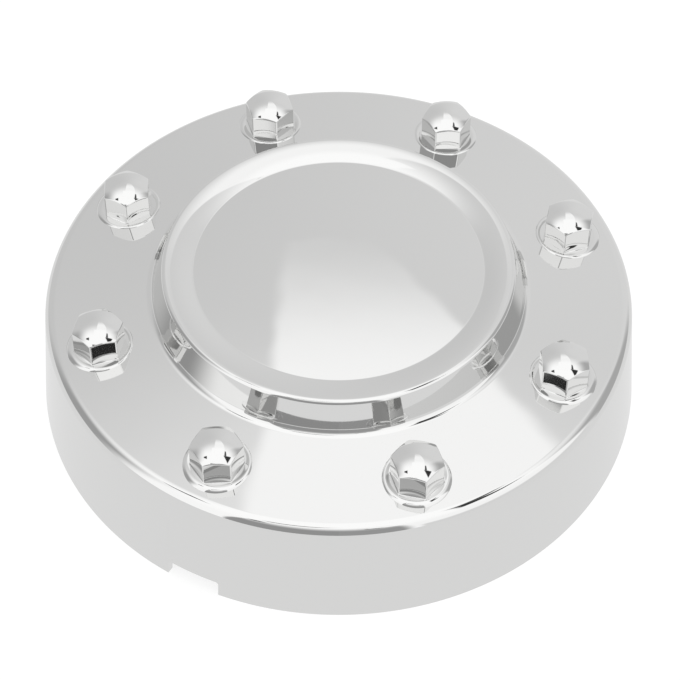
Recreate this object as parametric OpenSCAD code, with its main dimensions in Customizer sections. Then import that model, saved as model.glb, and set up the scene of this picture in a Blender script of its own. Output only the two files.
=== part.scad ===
// Wheel center cap: one thin-walled moulding that covers the hub and the eight
// wheel studs of a dual-rear-wheel truck. A drafted skirt carries a deck that
// rises gently to the middle, with eight domed nut covers round a raised, dished
// hub cover. The underside is open: hollow nut covers, stiffening ribs and a snap
// bead inside the rim.
// Z is up (away from the wheel), the rim stands on z = 0, millimetres.

/* [Body] */
// Diameter of the rim that meets the wheel
rim_d = 248.4; // [246:0.2:254]
// Height of the deck above the rim, at the circle of the nuts
deck_h = 51; // [47:0.1:57]
// Slope of the deck, up towards the neck, in degrees
deck_slope = 5; // [4.8:0.1:5.5]
// Draft of the skirt, in degrees
skirt_draft = 5.4; // [3:0.1:6]
// Rounding between the skirt and the deck
shoulder_r = 5; // [4:0.25:6]
// Wall thickness of the moulding
wall = 2.8; // [2.2:0.1:3]

/* [Hub cover] */
// Diameter of the neck where its sides would meet the deck
neck_d = 152.3; // [149:0.1:155]
// Draft of the neck, in degrees
neck_draft = 20; // [16:0.5:22]
// Radius of the hollow fillet at the foot of the neck
neck_fillet = 3.6; // [2:0.1:4]
// Height of the sharp lip corner above the foot of the neck, before rounding
lip_rise = 13.58; // [12:0.05:17]
// Rounding of the lip
lip_r = 2; // [1.2:0.1:2.4]
// Diameter of the crease where the bead meets the dome
crease_d = 118; // [112:1:122]
// Depth of the crease below the lip corner
crease_drop = 2.17; // [2:0.05:4]
// Radius of the hollow round along the crease
crease_fillet = 2.5; // [1.5:0.1:4]
// Radius of the bulged bead between the lip and the crease
bead_r = 34; // [28:1:60]
// Rise of the dome above the crease
dome_rise = 2; // [1.5:0.1:6]

/* [Nut covers] */
// Number of nut covers and of wheel nuts
nut_count = 8; // [8]
// Diameter of the circle that the nuts stand on
nut_circle_d = 200; // [198:0.5:202]
// Hexagon of a nut cover, across its flats
hex_af = 18.4; // [17.6:0.1:19.5]
// Height of the crown above the deck
crown_h = 14; // [13:0.1:15]
// Radius of the ball that rounds the crown
crown_r = 18.5; // [16:0.1:22]
// Diameter of the level washer flange round a nut cover
flange_d = 26.8; // [26:0.1:28]
// Height of the flange above the deck, at the hexagon
flange_h = 0.4; // [0.3:0.05:0.8]
// Diameter inside which the flange is a shallow cone, with its round outside
flange_flat_d = 24.4; // [22:0.1:25]
// Slope of that cone, in degrees
flange_slope = 4; // [3:0.5:4.5]
// Slope at the outer end of the flange's round, in degrees
flange_edge_slope = 50; // [40:1:60]
// Draft of the seat that is sunk into the deck on the neck side, in degrees
seat_draft = 20; // [10:1:45]
// Gap between the flange and the foot of that seat
seat_gap = 0.2; // [0.1:0.05:0.4]
// Diameter of the hollow inside a nut cover, clear of a 14 mm wheel stud
core_d = 14.6; // [14.2:0.1:14.8]
// Wall left above that hollow
core_roof = 2.8; // [2.4:0.1:3.2]

/* [Snap bead] */
// Height of the snap bead above the rim, inside the skirt
bead_h = 6; // [4:0.5:12]
// Radius of the snap bead's round section
bead_section_r = 1.4; // [1:0.1:1.8]

/* [Ribs] */
// Thickness of a stiffening rib
rib_t = 2; // [1.6:0.1:2.4]
// Height of a rib below the deck
rib_h = 14; // [10:0.5:18]
// Gap between a rib and the neck line
rib_gap = 7; // [6:0.5:12]

/* [Notch] */
// Width of the notch in the rim
notch_w = 22.7; // [20:0.1:26]
// Height of the notch
notch_h = 7.3; // [6:0.1:9]
// Rounding of the notch corners
notch_r = 1.2; // [0.8:0.1:2]

/* [Hidden] */
$fn = 128;
chrome = [0.80, 0.81, 0.83];
rim_r = rim_d / 2;
neck_r = neck_d / 2;
nut_r = nut_circle_d / 2;
neck_foot = deck_h + (nut_r - neck_r) * tan(deck_slope);
crease_r = crease_d / 2;
crease_z = neck_foot + lip_rise - crease_drop;
dome_ball = (crease_r * crease_r + dome_rise * dome_rise) / (2 * dome_rise);
dome_z = crease_z + dome_rise - dome_ball;
step = 360 / nut_count;
// The skirt and the neck side are lines x cos(draft) + z sin(draft) = reach,
// the deck is the line x sin(deck_slope) + z cos(deck_slope) = reach
skirt_reach = rim_r * cos(skirt_draft);
neck_reach = neck_r * cos(neck_draft) + neck_foot * sin(neck_draft);
deck_reach = nut_r * sin(deck_slope) + deck_h * cos(deck_slope);

// Point where a side with a draft and a reach meets the deck line of a reach
function meet(draft, side, deck) =
    [side * cos(deck_slope) - deck * sin(draft), deck * cos(draft) - side * sin(deck_slope)]
        / cos(draft + deck_slope);

// Half section of the skirt and deck, moved inward by t
module skirt_section(t) {
    r = shoulder_r - t;
    c = meet(skirt_draft, skirt_reach - shoulder_r, deck_reach - shoulder_r);
    foot = t > 0 ? -1 : 0;
    x0 = rim_r - t / cos(skirt_draft) - foot * tan(skirt_draft);
    edge = c + r * [sin(deck_slope), cos(deck_slope)];
    polygon([[0, foot], [x0, foot], c + r * [cos(skirt_draft), sin(skirt_draft)],
             c, edge, [0, edge[1] + edge[0] * tan(deck_slope)]]);
    translate(c) circle(r = r);
}

// Bulged bead from the lip to the crease, and the neck below it, moved inward by t
module neck_section(t) {
    d = neck_draft;
    // straight lip corner and the bead's ball centre, from the outer shape
    xl = neck_r - lip_rise * tan(d);
    chord = sqrt(pow(xl - crease_r, 2) + pow(crease_drop, 2));
    mid = [(xl + crease_r) / 2, neck_foot + lip_rise - crease_drop / 2];
    tilt = atan2(crease_drop, xl - crease_r);
    back = sqrt(bead_r * bead_r - chord * chord / 4);
    bx = mid[0] + back * sin(tilt);
    bz = mid[1] - back * cos(tilt);
    // ball that rounds the lip: touches the bead from inside and the neck side
    reach = bead_r - lip_r;
    off = neck_reach - lip_r - (bx * cos(d) + bz * sin(d));
    along = sqrt(reach * reach - off * off);
    lx = bx + off * cos(d) - along * sin(d);
    lz = bz + off * sin(d) + along * cos(d);
    lr = lip_r - t;
    // foot fillet: a hollow round, centred outside the neck, that grows with t
    fr = neck_fillet + t;
    f = meet(d, neck_reach + neck_fillet, deck_reach + neck_fillet);
    foot = meet(d, neck_reach - t, deck_reach - t);
    out = [cos(d), sin(d)];
    up = [sin(deck_slope), cos(deck_slope)];
    // body inside the neck side, topped by the bead's circle and the dome's
    intersection() {
        polygon([[0, foot[1] - 1], foot - [0, 1], foot, [lx, lz] + max(lr, 0.01) * out,
                 [lx, lz], [lx, deck_h + 40], [0, deck_h + 40]]);
        union() {
            translate([bx, bz]) circle(r = bead_r - t, $fn = 360);
            translate([0, dome_z]) circle(r = dome_ball - t, $fn = 360);
        }
    }
    // crease round: one centre for every t, where both circles are touched from above
    ra = bead_r + crease_fillet;
    rc = dome_ball + crease_fillet;
    span = sqrt(bx * bx + pow(bz - dome_z, 2));
    u = (rc * rc - ra * ra + span * span) / (2 * span);
    h = sqrt(rc * rc - u * u);
    cx = bx * u / span - (bz - dome_z) * h / span;
    cz = dome_z + (bz - dome_z) * u / span + bx * h / span;
    to_bead = atan2(bz - cz, bx - cx);
    to_dome = atan2(dome_z - cz, -cx);
    cr = crease_fillet + t;
    difference() {
        polygon([[cx, cz], [cx + cr * cos(to_dome), cz + cr * sin(to_dome)],
                 [cx + cr * cos(to_dome), cz - cr - 2],
                 [cx + cr * cos(to_bead), cz - cr - 2],
                 [cx + cr * cos(to_bead), cz + cr * sin(to_bead)]]);
        translate([cx, cz]) circle(r = cr);
    }
    if (lr > 0) translate([lx, lz]) circle(r = lr);
    difference() {
        polygon([foot - [0.5, 0.5], f - (fr + 0.5) * up, f - fr * up,
                 f, f - fr * out, f - (fr + 0.5) * out]);
        translate(f) circle(r = fr);
    }
}

// Filled turned body whose surface lies t inside the outer one
module turned(t) {
    rotate_extrude($fn = 256)
        intersection() {
            union() {
                skirt_section(t);
                neck_section(t);
            }
            translate([0, -2]) square([200, 200]);
        }
}

// Level washer flange: shallow cone, round rim, and an upright edge down into the deck
module flange() {
    r = flange_d / 2;
    flat = flange_flat_d / 2;
    low = deck_h - wall / 2;
    top = deck_h + flange_h - (flat - hex_af / 2) * tan(flange_slope);
    round_r = (r - flat) / (sin(flange_edge_slope) - sin(flange_slope));
    cx = r - round_r * sin(flange_edge_slope);
    cz = top - round_r * cos(flange_slope);
    edge = cz + round_r * cos(flange_edge_slope);
    rotate_extrude() {
        polygon([[0, low], [r, low], [r, edge], [flat, top],
                 [0, top + flat * tan(flange_slope)]]);
        intersection() {
            translate([cx, cz]) circle(r = round_r);
            polygon([[r, edge], [r, top + 1], [flat, top + 1], [flat, top]]);
        }
    }
}

// Seat sunk into the rising deck, so that the flange stays level
module seat() {
    rise = flange_d * tan(deck_slope);
    r = flange_d / 2 + seat_gap;
    translate([0, 0, deck_h])
        cylinder(r1 = r, r2 = r + rise * tan(seat_draft), h = rise);
}

// Hexagon with a rounded crown on its washer flange
module nut_cover() {
    flange();
    intersection() {
        translate([0, 0, deck_h - wall / 2])
            cylinder(d = hex_af / cos(30), h = crown_h + 2, $fn = 6);
        translate([0, 0, deck_h + crown_h - crown_r]) {
            sphere(r = crown_r);
            translate([0, 0, -30]) cylinder(r = crown_r, h = 30);
        }
    }
}

// Hollow of a nut cover, open to the underside
module nut_core() {
    translate([0, 0, deck_h - wall - 1])
        cylinder(d = core_d, h = crown_h - core_roof + wall + 1);
}

// Snap bead inside the skirt, half sunk in the wall, that holds the cap on the wheel
module snap_bead() {
    rotate_extrude($fn = 256)
        translate([rim_r - bead_h * tan(skirt_draft) - wall / cos(skirt_draft), bead_h])
            circle(r = bead_section_r, $fn = 48);
}

// Web that braces the skirt against the deck, between two nut covers
module rib() {
    translate([neck_r + rib_gap, -rib_t / 2, deck_h - wall / 2 - rib_h])
        cube([rim_r - neck_r, rib_t, rib_h + wall]);
}

// Notch in the rim, with rounded inner corners
module notch() {
    translate([0, -rim_r + 20, 0]) rotate([90, 0, 0]) linear_extrude(40) {
        translate([-notch_w / 2, -1]) square([notch_w, notch_h + 1 - notch_r]);
        translate([-notch_w / 2 + notch_r, 0])
            square([notch_w - 2 * notch_r, notch_h]);
        for (s = [-1, 1])
            translate([s * (notch_w / 2 - notch_r), notch_h - notch_r])
                circle(r = notch_r, $fn = 32);
    }
}

module center_cap() {
    color(chrome) difference() {
        union() {
            difference() {
                turned(0);
                turned(wall);
                for (i = [0 : nut_count - 1])
                    rotate(-90 + i * step) translate([nut_r, 0, 0]) seat();
            }
            for (i = [0 : nut_count - 1])
                rotate(-90 + i * step) translate([nut_r, 0, 0]) nut_cover();
            snap_bead();
            intersection() {
                for (i = [0 : nut_count - 1])
                    rotate(-90 + (i + 0.5) * step) rib();
                turned(wall / 2);
            }
        }
        for (i = [0 : nut_count - 1])
            rotate(-90 + i * step) translate([nut_r, 0, 0]) nut_core();
        notch();
    }
}

center_cap();
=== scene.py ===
import bpy
import math
from mathutils import Vector, Matrix


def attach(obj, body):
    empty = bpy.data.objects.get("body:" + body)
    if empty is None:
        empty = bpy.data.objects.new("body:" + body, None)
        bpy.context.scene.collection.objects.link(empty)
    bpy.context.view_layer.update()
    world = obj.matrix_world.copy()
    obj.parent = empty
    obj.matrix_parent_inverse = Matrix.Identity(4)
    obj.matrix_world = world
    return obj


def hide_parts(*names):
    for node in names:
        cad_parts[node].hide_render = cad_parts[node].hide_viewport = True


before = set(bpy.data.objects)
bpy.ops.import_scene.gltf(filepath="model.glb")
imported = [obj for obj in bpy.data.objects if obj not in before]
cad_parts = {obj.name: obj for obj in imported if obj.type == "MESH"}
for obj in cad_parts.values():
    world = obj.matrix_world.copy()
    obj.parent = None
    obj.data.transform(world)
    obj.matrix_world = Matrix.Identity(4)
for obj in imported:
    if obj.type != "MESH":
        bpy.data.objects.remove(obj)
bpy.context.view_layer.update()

# Chromed wheel center cap: one mesh for the moulding and one for its eight nut covers,
# then the plating, the studio that it mirrors, the floor and the camera.
# Lengths are millimetres until a mesh or an object is made, angles are radians.
# Sections are drawn as (radius, height) with their outward normals.

MM = 0.001
TURN = math.radians(27.68)      # the photograph's camera stands this far round the cap

# skirt and deck
RIM_R = 124.2
DECK_H = 51.0                   # at the circle of the nuts
DECK_SLOPE = math.radians(5.0)  # up towards the neck
SKIRT_DRAFT = math.radians(5.4)
SHOULDER_R = 5.0
WALL = 2.8
# neck, lip, bead and dome
NECK_R = 76.15                  # where the neck's side would meet the deck
NECK_DRAFT = math.radians(20.0)
NECK_FILLET = 3.6
LIP_RISE = 13.58
LIP_R = 2.0
CREASE_R = 59.0
CREASE_DROP = 2.17
CREASE_FILLET = 2.5
BEAD_R = 34.0
DOME_RISE = 2.0
# nut covers
NUTS = 8
NUT_R = 100.0
HEX_AF = 18.4                   # across flats
CROWN_H = 14.0
CROWN_R = 18.5
CORNER_R = 0.9                  # upright edges of the hexagon
RIM_ROUND = 0.8                 # edge between its sides and the crown
FOOT_ROUND = 0.45               # hollow round at its foot
FLANGE_R = 13.4
FLANGE_FLAT_R = 10.7
FLANGE_H = 0.4                  # at the hexagon, above the deck
FLANGE_SLOPE = math.radians(5.0)
FLANGE_EDGE = math.radians(50.0)
FLANGE_LEVEL = 0.4              # the rim starts to follow the deck this far inside the flat's edge
FLANGE_SUNK = 1.0               # depth of the flange's upright edge, into the deck
CORE_R = 7.3
CORE_ROOF = 2.8
# snap bead, ribs and notch
BEAD_H, BEAD_SECTION_R = 6.0, 1.4
RIB_T, RIB_H, RIB_GAP = 2.0, 14.0, 7.0
NOTCH_W, NOTCH_H, NOTCH_R = 22.7, 7.3, 1.2

SEG = 480                       # columns of the outside
SEG_IN = 240                    # columns of the underside
SEG_NOTCH = 24                  # columns of the skirt's foot that the notch takes
SKIRT_ROW = 14.0                # height of a row of points across the skirt, over the notch
POLE_GAP = 1e-5                 # an arc stops this angle short of the axis

# Lines of the section as x cos(draft) + z sin(draft) = reach, and the dome's ball
NECK_FOOT = DECK_H + (NUT_R - NECK_R) * math.tan(DECK_SLOPE)
SKIRT_REACH = RIM_R * math.cos(SKIRT_DRAFT)
NECK_REACH = NECK_R * math.cos(NECK_DRAFT) + NECK_FOOT * math.sin(NECK_DRAFT)
DECK_REACH = NUT_R * math.sin(DECK_SLOPE) + DECK_H * math.cos(DECK_SLOPE)
CREASE_Z = NECK_FOOT + LIP_RISE - CREASE_DROP
BALL_R = (CREASE_R ** 2 + DOME_RISE ** 2) / (2 * DOME_RISE)
BALL_Z = CREASE_Z + DOME_RISE - BALL_R
FOOT_TILT = math.pi / 2 - FLANGE_SLOPE  # turn of the foot round, from the side to the flange

# plating: colour, roughness and faint waves, with their scale per metre and depth in metres
CHROME_COLOUR = (0.80, 0.80, 0.795, 1)
CHROME_ROUGHNESS = 0.035
WAVE_SCALE = 22.0
WAVE_DETAIL = 2.0
WAVE_STRENGTH = 0.12
WAVE_DEPTH = 0.001

# Walls of the studio, from the near side round by the left, the far side and the right. For
# each one: the degrees from the far side where the change to it begins and where it is
# reached, and its brightness.
NEAR_WALL = 0.34
WALLS = [
    (-144.5, -142.5, 1.15),
    (-116.0, -92.0, 0.40),
    (-78.0, -52.0, 0.67),
    (-25.0, 25.0, 0.80),
    (50.0, 62.0, 0.47),
    (84.0, 92.0, 1.12),
    (155.0, 160.0, 0.36),
]
# dimmer foot of the wall on the right: its two ends round, its top, and its brightness
FOOT_LEFT = (84.0, 92.0)
FOOT_RIGHT = (155.0, 152.0)
FOOT_TOP = (24.0, 12.0)
FOOT_LEVEL = 0.80
# degrees of rise over which the walls turn into the ceiling
WALL_TOP = (34.0, 66.0)
# The ceiling lies at unit height above the cap, and a place on it is (right, away).
HORIZON = 0.05                  # least height used for a place on the ceiling
# place away and brightness of the ceiling's far and near parts
CEILING_FAR = (0.80, 0.75)
CEILING_NEAR = (0.05, 1.20)
# the lit panel is the sum of two shapes; its brightness by place away follows
LIGHT = [
    [(0.30, 0.30), (0.28, 0.50), (0.20, 0.70), (0.05, 0.97), (-0.08, 0.97), (-0.11, 0.30)],
    [(-0.23, -0.30), (0.31, -0.30), (0.29, 0.34), (-0.20, 0.36)],
]
LIGHT_SOFT = 0.012
LIGHT_FAR = (0.98, 0.76)
LIGHT_NEAR = (0.60, 1.12)
LIGHT_END = (0.46, 0.26, 1.20)  # from here, to here, and the brightness there
# small dark panels at the edges of the lit one, and one bright: corners, softness, brightness
SMALL_PANELS = [
    ([(0.30, 0.00), (0.40, 0.00), (0.36, 0.20), (0.31, 0.22)], 0.02, 0.05),
    ([(0.27, 0.00), (0.50, -0.34), (0.64, 0.00)], 0.02, 0.04),
    ([(-0.58, -0.05), (-0.42, -0.14), (-0.41, 0.01), (-0.56, 0.00)], 0.015, 0.06),
    ([(-0.28, -0.42), (-0.10, -0.44), (0.02, -0.37), (-0.12, -0.36), (-0.28, -0.33)], 0.02, 0.05),
    ([(-0.47, -0.72), (-0.38, -0.72), (-0.38, -0.58), (-0.46, -0.60)], 0.01, 0.03),
    ([(0.15, -0.92), (0.26, -0.90), (0.25, -0.81), (0.15, -0.81)], 0.01, 0.03),
    ([(0.15, -0.79), (0.32, -0.79), (0.32, -0.68), (0.15, -0.66)], 0.01, 1.30),
]
BACKDROP = 1.0                  # what the camera sees behind the cap: plain white

# floor: half its side and its depth below the cap in metres, then its paint, its glow to
# the camera and its glow in the plating
FLOOR_HALF = 2.5
FLOOR_GAP = 0.0002
FLOOR_PAINT = 0.30
FLOOR_GLOW = 0.80
FLOOR_MIRRORED = 0.82

# camera: millimetres, pixels of the photograph, degrees of rise, and a roll in radians
SENSOR = 36.0
PHOTO_PIXELS = 680.0
FOCAL_PIXELS = 2227.85
CAMERA_RISE = 50.19
CAMERA_TARGET = (0.53, 0.0, 18.47)
CAMERA_DISTANCE = 934.3
CAMERA_ROLL = -0.0012
CLIP_START = 0.01               # metres


# Curves and meshes

def arc(cx, cz, r, a0, a1, n, out=1):
    """Arc in n steps, with outward normals; out is -1 where the solid lies outside the circle."""
    points = []
    for i in range(n + 1):
        a = a0 + (a1 - a0) * i / n
        c, s = math.cos(a), math.sin(a)
        points.append((cx + r * c, cz + r * s, out * c, out * s))
    return points


def line(p, q, n):
    """Points from p to q in n steps; the outward normal lies to the right of the way."""
    dx, dz = q[0] - p[0], q[1] - p[1]
    length = math.hypot(dx, dz)
    nx, nz = dz / length, -dx / length
    return [(p[0] + dx * i / n, p[1] + dz * i / n, nx, nz) for i in range(n + 1)]


def smooth(x, low, high):
    """0 below low, 1 above high, with a smooth change between them."""
    u = min(max((x - low) / (high - low), 0.0), 1.0)
    return u * u * (3 - 2 * u)


def spun(p, a):
    """A point or direction turned round the cap's axis."""
    c, s = math.cos(a), math.sin(a)
    return (p[0] * c - p[1] * s, p[0] * s + p[1] * c, p[2])


class Patch:
    """Points, normals and faces, gathered into one mesh."""

    def __init__(self):
        self.points, self.normals, self.faces = [], [], []

    def add(self, points, normals, faces):
        start = len(self.points)
        self.points += points
        self.normals += normals
        self.faces += [tuple(i + start for i in face) for face in faces]

    def grid(self, rows, normals, closed=False, flip=False):
        """A sheet from columns of equal length."""
        m, cols = len(rows[0]), len(rows)
        faces = []
        for j in range(cols if closed else cols - 1):
            p, q = j * m, ((j + 1) % cols) * m
            for i in range(m - 1):
                face = (p + i, q + i, q + i + 1, p + i + 1)
                faces.append(tuple(reversed(face)) if flip else face)
        self.add([p for row in rows for p in row], [n for row in normals for n in row], faces)

    def revolve(self, section, seg, flip=False, a0=0.0, a1=2 * math.pi, at=(0, 0)):
        """A section turned round the axis at a place, all the way or from a0 to a1."""
        closed = math.isclose(a1 - a0, 2 * math.pi)
        rows, normals = [], []
        for j in range(seg if closed else seg + 1):
            a = a0 + (a1 - a0) * j / seg
            c, s = math.cos(a), math.sin(a)
            rows.append([(at[0] + r * c, at[1] + r * s, z) for r, z, _, _ in section])
            normals.append([(nr * c, nr * s, nz) for _, _, nr, nz in section])
        self.grid(rows, normals, closed, flip)

    def quad(self, p):
        """A flat face with four corners of its own."""
        e1, e2 = Vector(p[1]) - Vector(p[0]), Vector(p[3]) - Vector(p[0])
        self.add(list(p), [tuple(e1.cross(e2).normalized())] * 4, [(0, 1, 2, 3)])

    def build(self, name):
        """The patch as an object, in metres."""
        mesh = bpy.data.meshes.new(name)
        mesh.from_pydata([(x * MM, y * MM, z * MM) for x, y, z in self.points], [], self.faces)
        mesh.validate()
        mesh.polygons.foreach_set("use_smooth", [True] * len(mesh.polygons))
        mesh.normals_split_custom_set_from_vertices([Vector(n).normalized() for n in self.normals])
        mesh.update()
        piece = bpy.data.objects.new(name, mesh)
        bpy.context.scene.collection.objects.link(piece)
        return piece


# Section of the moulding, t below its outside

def meet(draft, side, deck):
    """Where a side's line x cos(draft) + z sin(draft) = side meets a line along the deck."""
    k = math.cos(draft + DECK_SLOPE)
    return ((side * math.cos(DECK_SLOPE) - deck * math.sin(draft)) / k,
            (deck * math.cos(draft) - side * math.sin(DECK_SLOPE)) / k)


def deck_z(r, t=0.0):
    """Height of the deck at a radius."""
    return DECK_H - t / math.cos(DECK_SLOPE) + (NUT_R - r) * math.tan(DECK_SLOPE)


def skirt_r(z, t):
    """Radius of the skirt at a height."""
    return RIM_R - t / math.cos(SKIRT_DRAFT) - z * math.tan(SKIRT_DRAFT)


def bead_centre():
    """Centre of the wide round from the lip, where the neck's side would end, to the crease."""
    lip = (NECK_R - LIP_RISE * math.tan(NECK_DRAFT), NECK_FOOT + LIP_RISE)
    dx, dz = lip[0] - CREASE_R, lip[1] - CREASE_Z
    chord = math.hypot(dx, dz)
    back = math.sqrt(BEAD_R ** 2 - chord ** 2 / 4)
    return ((lip[0] + CREASE_R) / 2 + back * dz / chord,
            (lip[1] + CREASE_Z) / 2 - back * dx / chord)


def crease_centre(bx, bz):
    """Centre of the hollow round that touches the bead's circle and the dome's from above."""
    ra, rc = BEAD_R + CREASE_FILLET, BALL_R + CREASE_FILLET
    span = math.hypot(bx, bz - BALL_Z)
    u = (rc * rc - ra * ra + span * span) / (2 * span)
    h = math.sqrt(rc * rc - u * u)
    return (bx * u / span - (bz - BALL_Z) * h / span,
            BALL_Z + (bz - BALL_Z) * u / span + bx * h / span)


def shoulder(t):
    """Round between the skirt and the deck."""
    c = meet(SKIRT_DRAFT, SKIRT_REACH - SHOULDER_R, DECK_REACH - SHOULDER_R)
    return arc(c[0], c[1], SHOULDER_R - t, SKIRT_DRAFT, math.pi / 2 - DECK_SLOPE, n=14)


def hub_cover(t):
    """Neck with its foot, lip, bead, crease and dome, from the deck inward."""
    d = NECK_DRAFT
    out = (math.cos(d), math.sin(d))
    f = meet(d, NECK_REACH + NECK_FILLET, DECK_REACH + NECK_FILLET)
    fr = NECK_FILLET + t
    section = arc(f[0], f[1], fr, -math.pi / 2 - DECK_SLOPE, -math.pi + d, n=14, out=-1)
    wall_foot = (f[0] - fr * out[0], f[1] - fr * out[1])
    bx, bz = bead_centre()
    # the lip's ball touches the neck's side and, from inside, the bead
    keep = max(t, LIP_R)
    off = NECK_REACH - keep - bx * out[0] - bz * out[1]
    along = math.sqrt((BEAD_R - keep) ** 2 - off * off)
    lip = (bx + off * out[0] - along * out[1], bz + off * out[1] + along * out[0])
    lr = max(LIP_R - t, 0.0)
    section += line(wall_foot, (lip[0] + lr * out[0], lip[1] + lr * out[1]), n=6)[1:]
    to_bead = math.atan2(lip[1] - bz, lip[0] - bx)
    if lr:
        section += arc(lip[0], lip[1], lr, d, to_bead, n=24)[1:]
    cx, cz = crease_centre(bx, bz)
    bead = arc(bx, bz, BEAD_R - t, to_bead, math.atan2(cz - bz, cx - bx), n=24)
    section += bead[1:] if lr else bead
    from_bead, to_ball = math.atan2(bz - cz, bx - cx), math.atan2(BALL_Z - cz, -cx)
    section += arc(cx, cz, CREASE_FILLET + t, from_bead, to_ball, n=8, out=-1)[1:]
    ball_edge, ball_top = math.atan2(cz - BALL_Z, cx), math.pi / 2 - POLE_GAP
    return section + arc(0, BALL_Z, BALL_R - t, ball_edge, ball_top, n=28)[1:]


# Moulding

def rim_line():
    """Foot of the skirt as (angle, height): once round, over the notch on -Y."""
    half, round_a = NOTCH_W / 2 / RIM_R, NOTCH_R / RIM_R
    full = 2 * math.pi
    cols, n_corner, n_top = SEG - SEG_NOTCH, 5, 12
    points = [(half + (full - 2 * half) * i / cols, 0.0) for i in range(cols + 1)]
    for side in (-1, 1):
        corner = []
        for i in range(n_corner + 1):
            a = math.pi / 2 * i / n_corner
            corner.append((full + side * (half - round_a * (1 - math.cos(a))),
                           NOTCH_H - NOTCH_R * (1 - math.sin(a))))
        points += corner if side < 0 else list(reversed(corner))
        if side < 0:
            gap = 2 * (half - round_a)
            points += [(full - gap / 2 + gap * i / n_top, NOTCH_H) for i in range(1, n_top)]
    return points + [(full + half, 0.0)]


def skirt_point(a, z, t, r=None):
    """Point at an angle from -Y, on the skirt's draft or at a radius of its own."""
    r = skirt_r(z, t) if r is None else r
    return (r * math.sin(a), -r * math.cos(a), z)


def skirt(patch):
    """Both faces of the skirt, and its foot with the notch."""
    low = rim_line()
    for t in (0.0, WALL):
        top_r, top_z = shoulder(t)[0][:2]
        sign = 1 if t == 0 else -1
        nr, nz = sign * math.cos(SKIRT_DRAFT), sign * math.sin(SKIRT_DRAFT)
        rows, normals = [], []
        for a, z in low:
            rows.append([skirt_point(a, z, t), skirt_point(a, SKIRT_ROW, t),
                         skirt_point(a, top_z, t, top_r)])
            normals.append([(nr * math.sin(a), -nr * math.cos(a), nz)] * 3)
        patch.grid(rows, normals, flip=t > 0)
    for (a0, z0), (a1, z1) in zip(low, low[1:]):
        patch.quad((skirt_point(a0, z0, 0), skirt_point(a0, z0, WALL),
                    skirt_point(a1, z1, WALL), skirt_point(a1, z1, 0)))


def sector_edge(r0, r1, half):
    """Outline of one sector of the deck's underside as (radius, angle)."""
    n_arc, n_side = SEG_IN // NUTS, 8
    edge = [(r1, -half + 2 * half * i / n_arc) for i in range(n_arc)]
    edge += [(r1 + (r0 - r1) * i / n_side, half) for i in range(n_side)]
    edge += [(r0, half - 2 * half * i / n_arc) for i in range(n_arc)]
    return edge + [(r0 + (r1 - r0) * i / n_side, -half) for i in range(n_side)]


def underside_sector(patch, k):
    """Underside of the deck round one nut cover's hollow, and that hollow."""
    half = math.pi / NUTS
    turn = 2 * half * k
    n_rows = 5
    rows, normals = [], []
    for r, a in sector_edge(hub_cover(WALL)[0][0], shoulder(WALL)[-1][0], half):
        ex, ey = r * math.cos(a), r * math.sin(a)
        t = math.atan2(ey, ex - NUT_R)
        hx, hy = NUT_R + CORE_R * math.cos(t), CORE_R * math.sin(t)
        row = []
        for i in range(n_rows + 1):
            x, y = hx + (ex - hx) * i / n_rows, hy + (ey - hy) * i / n_rows
            row.append(spun((x, y, deck_z(math.hypot(x, y), WALL)), turn))
        rows.append(row)
        down = spun((-math.sin(DECK_SLOPE), 0, -math.cos(DECK_SLOPE)), turn + a)
        normals.append([down] * (n_rows + 1))
    patch.grid(rows, normals, closed=True, flip=True)
    roof = DECK_H + CROWN_H - CORE_ROOF
    cx, cy, _ = spun((NUT_R, 0, 0), turn)
    walls, wall_normals = [], []
    for x, y, z in (row[0] for row in rows):
        walls.append([(x, y, z), (x, y, roof)])
        wall_normals.append([((cx - x) / CORE_R, (cy - y) / CORE_R, 0)] * 2)
    patch.grid(walls, wall_normals, closed=True)
    patch.revolve([(CORE_R, roof, 0, -1), (0, roof, 0, -1)], seg=40, flip=True, at=(cx, cy))


def rib(patch, a):
    """Upright rib under the deck, from near the neck to the skirt."""
    r0 = NECK_R + RIB_GAP
    low = DECK_H - WALL / 2 - RIB_H
    ends = ((r0, low),
            (skirt_r(low, WALL / 2), low),
            (skirt_r(deck_z(RIM_R), WALL / 2), deck_z(RIM_R, WALL)),
            (r0, deck_z(r0, WALL / 2)))
    left, right = ([spun((r, side * RIB_T / 2, z), a) for r, z in ends] for side in (-1, 1))
    patch.quad(left)
    patch.quad(right[::-1])
    patch.quad((left[0], right[0], right[1], left[1]))
    patch.quad((left[0], left[3], right[3], right[0]))


def moulding():
    """The whole cap but the outsides of its nut covers."""
    patch = Patch()
    top = shoulder(0)
    cover = hub_cover(0)
    patch.revolve(top + line(top[-1][:2], cover[0][:2], n=8)[1:-1] + cover, SEG)
    skirt(patch)
    for part in (shoulder(WALL), hub_cover(WALL)):
        patch.revolve([(r, z, -nr, -nz) for r, z, nr, nz in part], SEG_IN, flip=True)
    half = NOTCH_W / 2 / RIM_R
    snap = arc(skirt_r(BEAD_H, WALL), BEAD_H, BEAD_SECTION_R, math.pi * 0.5, math.pi * 1.5, n=12)
    patch.revolve(snap, SEG_IN, a0=-math.pi / 2 + half, a1=1.5 * math.pi - half)
    for k in range(NUTS):
        underside_sector(patch, k)
        rib(patch, 2 * math.pi / NUTS * (k + 0.5))
    return patch


# Nut covers: built with the neck towards -X

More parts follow.
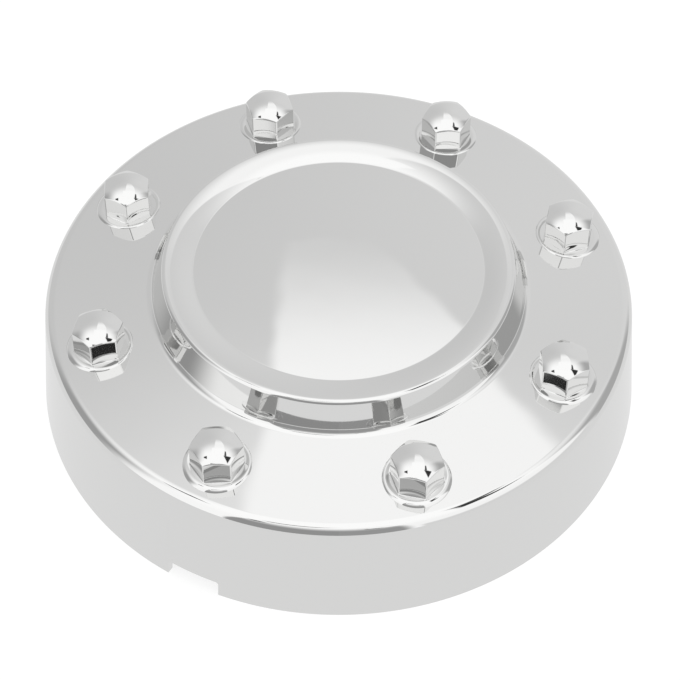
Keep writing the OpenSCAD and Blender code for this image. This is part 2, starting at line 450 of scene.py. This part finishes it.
def flange_section(r):
    """Height of the level flange at a radius: gentle cone, then a wide round."""
    top = DECK_H + FLANGE_H - (FLANGE_FLAT_R - HEX_AF / 2) * math.tan(FLANGE_SLOPE)
    if r <= FLANGE_FLAT_R:
        return top + (FLANGE_FLAT_R - r) * math.tan(FLANGE_SLOPE)
    rho = (FLANGE_R - FLANGE_FLAT_R) / (math.sin(FLANGE_EDGE) - math.sin(FLANGE_SLOPE))
    cx = FLANGE_R - rho * math.sin(FLANGE_EDGE)
    return top - rho * math.cos(FLANGE_SLOPE) + math.sqrt(rho ** 2 - (r - cx) ** 2)


def flange_z(x, y):
    """The flange is level at the hexagon, and its rim follows the deck."""
    r = math.hypot(x, y)
    follow = smooth(r, FLANGE_FLAT_R - FLANGE_LEVEL, FLANGE_R)
    lift = deck_z(math.hypot(NUT_R + x, y)) - deck_z(NUT_R + FLANGE_R)
    return flange_section(r) + follow * lift


def flange_normal(x, y):
    """Upward normal of the flange, from its height a little to each side."""
    e = 0.02
    return ((flange_z(x - e, y) - flange_z(x + e, y)) / (2 * e),
            (flange_z(x, y - e) - flange_z(x, y + e)) / (2 * e), 1.0)


def hexagon():
    """Outline with rounded corners as (x, y, direction of the normal)."""
    reach = (HEX_AF / 2 - CORNER_R) / math.cos(math.pi / 6)
    n_corner, n_side = 8, 12
    cols = []
    for k in range(6):
        a = math.pi / 3 * k
        for i in range(n_corner + 1):
            face = a + math.pi / 3 * (i / n_corner - 0.5)
            cols.append((reach * math.cos(a) + CORNER_R * math.cos(face),
                         reach * math.sin(a) + CORNER_R * math.sin(face), face))
        b = a + math.pi / 3
        x0, y0, face = cols[-1]
        x1 = reach * math.cos(b) + CORNER_R * math.cos(face)
        y1 = reach * math.sin(b) + CORNER_R * math.sin(face)
        for i in range(1, n_side):
            cols.append((x0 + (x1 - x0) * i / n_side, y0 + (y1 - y0) * i / n_side, face))
    return cols


def flange_column(c, s, touch):
    """Points and normals of the flange along the direction (c, s): upright edge, then top."""
    rim = flange_z(FLANGE_R * c, FLANGE_R * s)
    points = [(FLANGE_R * c, FLANGE_R * s, z) for z in (rim - FLANGE_SUNK, rim)]
    normals = [(c, s, 0)] * 2
    steps = 21
    for i in range(steps + 1):
        r = FLANGE_R + (touch - FLANGE_R) * i / steps
        points.append((r * c, r * s, flange_z(r * c, r * s)))
        normals.append(flange_normal(r * c, r * s))
    return points, normals


def upper_section(rho, foot_z):
    """Foot round, side, edge round and crown at a radius rho of the hexagon.

    Each point is (radius, height, rise of its normal, share of the hexagon's side in it).
    """
    n_foot, n_side, n_edge, n_crown = 6, 3, 9, 16
    section = []
    for i in range(1, n_foot + 1):
        a = FOOT_TILT * (1 - i / n_foot)
        section.append((rho + FOOT_ROUND * (1 - math.cos(a)), foot_z - FOOT_ROUND * math.sin(a),
                        a, i / n_foot))
    ball_z = DECK_H + CROWN_H - CROWN_R
    ex = rho - RIM_ROUND
    ez = ball_z + math.sqrt((CROWN_R - RIM_ROUND) ** 2 - ex ** 2)
    to_ball = math.atan2(ez - ball_z, ex)
    for i in range(1, n_side + 1):
        section.append((rho, foot_z + (ez - foot_z) * i / n_side, 0.0, 1.0))
    for i in range(1, n_edge + 1):
        a = to_ball * i / n_edge
        section.append((ex + RIM_ROUND * math.cos(a), ez + RIM_ROUND * math.sin(a),
                        a, 1 - i / n_edge))
    for i in range(1, n_crown + 1):
        a = to_ball + (math.pi / 2 - POLE_GAP - to_ball) * i / n_crown
        section.append((CROWN_R * math.cos(a), ball_z + CROWN_R * math.sin(a), a, 0.0))
    return section


def nut_cover():
    """One nut cover as columns round the hexagon, from the deck up to the crown."""
    patch = Patch()
    rows, normals = [], []
    for x, y, face in hexagon():
        rho = math.hypot(x, y)
        c, s = x / rho, y / rho
        # the foot round touches the flange's cone below and the side above
        touch = rho + FOOT_ROUND * (1 - math.cos(FOOT_TILT))
        points, norms = flange_column(c, s, touch)
        foot_z = flange_z(touch * c, touch * s) + FOOT_ROUND * math.sin(FOOT_TILT)
        for r, z, a, side in upper_section(rho, foot_z):
            hx = math.cos(face) * side + c * (1 - side)
            hy = math.sin(face) * side + s * (1 - side)
            k = math.hypot(hx, hy)
            points.append((r * c, r * s, z))
            norms.append((math.cos(a) * hx / k, math.cos(a) * hy / k, math.sin(a)))
        rows.append(points)
        normals.append(norms)
    patch.grid(rows, normals, closed=True)
    return patch


def nut_covers():
    """The nut cover repeated round the nut circle."""
    one, patch = nut_cover(), Patch()
    for k in range(NUTS):
        a = 2 * math.pi / NUTS * k
        points = [spun((x + NUT_R, y, z), a) for x, y, z in one.points]
        patch.add(points, [spun(n, a) for n in one.normals], one.faces)
    return patch


cap = moulding().build("cap_shell")
covers = nut_covers().build("nut_covers")
for piece in (cap, covers):
    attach(piece, "root")
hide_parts("center_cap")
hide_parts("center_cap")


# Plating, studio, floor and camera

def empty_tree(owner):
    """The owner's node tree, switched on and cleared."""
    owner.use_nodes = True
    owner.node_tree.nodes.clear()
    return owner.node_tree


class Nodes:
    """Small helpers to write shader maths."""

    def __init__(self, tree):
        self.tree = tree

    def node(self, kind):
        """A new shader node, by the end of its type's name."""
        return self.tree.nodes.new("ShaderNode" + kind)

    def put(self, socket, value):
        """Set a socket to a number, or link it to another socket."""
        if isinstance(value, (int, float, tuple)):
            socket.default_value = value
        else:
            self.tree.links.new(value, socket)

    def math(self, operation, *values):
        """A Math node on numbers or sockets."""
        x = self.node("Math")
        x.operation = operation
        for socket, value in zip(x.inputs, values):
            self.put(socket, value)
        return x.outputs[0]

    def dot(self, vector, other):
        """Dot product of two vectors."""
        x = self.node("VectorMath")
        x.operation = "DOT_PRODUCT"
        self.put(x.inputs[0], vector)
        self.put(x.inputs[1], other)
        return x.outputs["Value"]

    def step(self, value, start, end, low=0.0, high=1.0):
        """Smooth change from low to high while value goes from start to end."""
        x = self.node("MapRange")
        x.interpolation_type = "SMOOTHSTEP"
        for socket, given in zip(x.inputs, (value, start, end, low, high)):
            self.put(socket, given)
        return x.outputs[0]

    def mix(self, share, a, b):
        """a where share is 0, b where it is 1."""
        return self.math("MULTIPLY_ADD", self.math("SUBTRACT", b, a), share, a)

    def panel(self, u, v, corners, soft):
        """1 inside a convex panel, whose corners run anticlockwise, 0 outside it."""
        inside = 1.0
        for (ua, va), (ub, vb) in zip(corners, corners[1:] + corners[:1]):
            size = math.hypot(ub - ua, vb - va)
            a, b = (va - vb) / size, (ub - ua) / size
            c = -(a * ua + b * va)
            side = self.math("MULTIPLY_ADD", u, a, self.math("MULTIPLY_ADD", v, b, c))
            inside = self.math("MULTIPLY", self.step(side, -soft, soft), inside)
        return inside


def chrome_plate():
    """Bright chrome plating on plastic, with the faint waves of a moulded face under it."""
    material = bpy.data.materials.new("chrome")
    material.use_nodes = True
    n = Nodes(material.node_tree)
    shader = material.node_tree.nodes["Principled BSDF"]
    shader.inputs["Base Color"].default_value = CHROME_COLOUR
    shader.inputs["Metallic"].default_value = 1.0
    shader.inputs["Roughness"].default_value = CHROME_ROUGHNESS
    place = n.node("TexCoord")
    waves = n.node("TexNoise")
    waves.inputs["Scale"].default_value = WAVE_SCALE
    waves.inputs["Detail"].default_value = WAVE_DETAIL
    bump = n.node("Bump")
    bump.inputs["Strength"].default_value = WAVE_STRENGTH
    bump.inputs["Distance"].default_value = WAVE_DEPTH
    n.put(waves.inputs["Vector"], place.outputs["Object"])
    n.put(bump.inputs["Height"], waves.outputs[0])
    n.put(shader.inputs["Normal"], bump.outputs["Normal"])
    return material


def studio():
    """Pale walls, a ceiling with a lit panel, dark bits at its edges; white to the camera."""
    world = bpy.data.worlds.new("studio")
    bpy.context.scene.world = world
    n = Nodes(empty_tree(world))
    direction = n.node("TexCoord").outputs["Generated"]
    # right, away and up as the photograph's camera has them
    x = n.dot(direction, spun((1, 0, 0), TURN))
    y = n.dot(direction, spun((0, 1, 0), TURN))
    z = n.dot(direction, (0, 0, 1))
    rise = n.math("DEGREES", n.math("ARCSINE", z))
    around = n.math("DEGREES", n.math("ARCTAN2", x, y))
    # where the direction meets a ceiling at unit height
    height = n.math("MAXIMUM", z, HORIZON)
    u = n.math("DIVIDE", x, height)
    v = n.math("DIVIDE", y, height)

    wall = NEAR_WALL
    for start, end, level in WALLS:
        wall = n.mix(n.step(around, start, end), wall, level)
    foot = n.math("MULTIPLY", n.step(around, *FOOT_LEFT), n.step(around, *FOOT_RIGHT))
    foot = n.math("MULTIPLY", foot, n.step(rise, *FOOT_TOP))
    wall = n.mix(foot, wall, FOOT_LEVEL)
    ceiling = n.step(v, CEILING_FAR[0], CEILING_NEAR[0], CEILING_FAR[1], CEILING_NEAR[1])
    tone = n.mix(n.step(rise, *WALL_TOP), wall, ceiling)
    light = n.math("MAXIMUM", *[n.panel(u, v, corners, LIGHT_SOFT) for corners in LIGHT])
    glow = n.step(v, LIGHT_FAR[0], LIGHT_NEAR[0], LIGHT_FAR[1], LIGHT_NEAR[1])
    glow = n.mix(n.step(v, LIGHT_END[0], LIGHT_END[1]), glow, LIGHT_END[2])
    tone = n.mix(light, tone, glow)
    for corners, soft, level in SMALL_PANELS:
        tone = n.mix(n.panel(u, v, corners, soft), tone, level)

    seen = n.node("LightPath").outputs["Is Camera Ray"]
    background = n.node("Background")
    n.put(background.inputs["Color"], n.mix(seen, tone, BACKDROP))
    n.put(n.node("OutputWorld").inputs["Surface"], background.outputs[0])


def pale_floor():
    """White floor that keeps a faint shadow, with a plain glow of its own in the plating."""
    mesh = bpy.data.meshes.new("floor")
    signs = ((-1, -1), (1, -1), (1, 1), (-1, 1))
    mesh.from_pydata([(i * FLOOR_HALF, j * FLOOR_HALF, 0) for i, j in signs], [], [(0, 1, 2, 3)])
    floor = bpy.data.objects.new("floor", mesh)
    bpy.context.scene.collection.objects.link(floor)
    floor.location.z = -FLOOR_GAP
    material = bpy.data.materials.new("floor")
    n = Nodes(empty_tree(material))
    paint = n.node("BsdfDiffuse")
    paint.inputs["Color"].default_value = (FLOOR_PAINT, FLOOR_PAINT, FLOOR_PAINT, 1)
    glow = n.node("Emission")
    glow.inputs["Strength"].default_value = FLOOR_GLOW
    mirrored = n.node("Emission")
    mirrored.inputs["Strength"].default_value = FLOOR_MIRRORED
    both = n.node("AddShader")
    n.put(both.inputs[0], paint.outputs[0])
    n.put(both.inputs[1], glow.outputs[0])
    choice = n.node("MixShader")
    n.put(choice.inputs[0], n.node("LightPath").outputs["Is Glossy Ray"])
    n.put(choice.inputs[1], both.outputs[0])
    n.put(choice.inputs[2], mirrored.outputs[0])
    n.put(n.node("OutputMaterial").inputs["Surface"], choice.outputs[0])
    mesh.materials.append(material)


def camera():
    """The photograph's camera: its lens, height and distance, found from the rim and the nuts."""
    scene = bpy.context.scene
    data = bpy.data.cameras.new("camera")
    cam = bpy.data.objects.new("camera", data)
    scene.collection.objects.link(cam)
    scene.camera = cam
    data.sensor_width = SENSOR
    data.lens = FOCAL_PIXELS / PHOTO_PIXELS * SENSOR
    data.clip_start = CLIP_START
    tilt = math.radians(CAMERA_RISE)
    back = Vector((0, -math.cos(tilt), math.sin(tilt)))
    upward = Vector((0, math.sin(tilt), math.cos(tilt)))
    facing = Matrix((Vector((1, 0, 0)), upward, back)).transposed().to_4x4()
    eye = (Vector(CAMERA_TARGET) + back * CAMERA_DISTANCE) * MM
    roll = Matrix.Rotation(CAMERA_ROLL, 4, "Z")
    cam.matrix_world = Matrix.Rotation(TURN, 4, "Z") @ Matrix.Translation(eye) @ facing @ roll


plating = chrome_plate()
for piece in (cap, covers):
    piece.data.materials.append(plating)
studio()
pale_floor()
camera()
bpy.context.scene.view_settings.view_transform = "Standard"
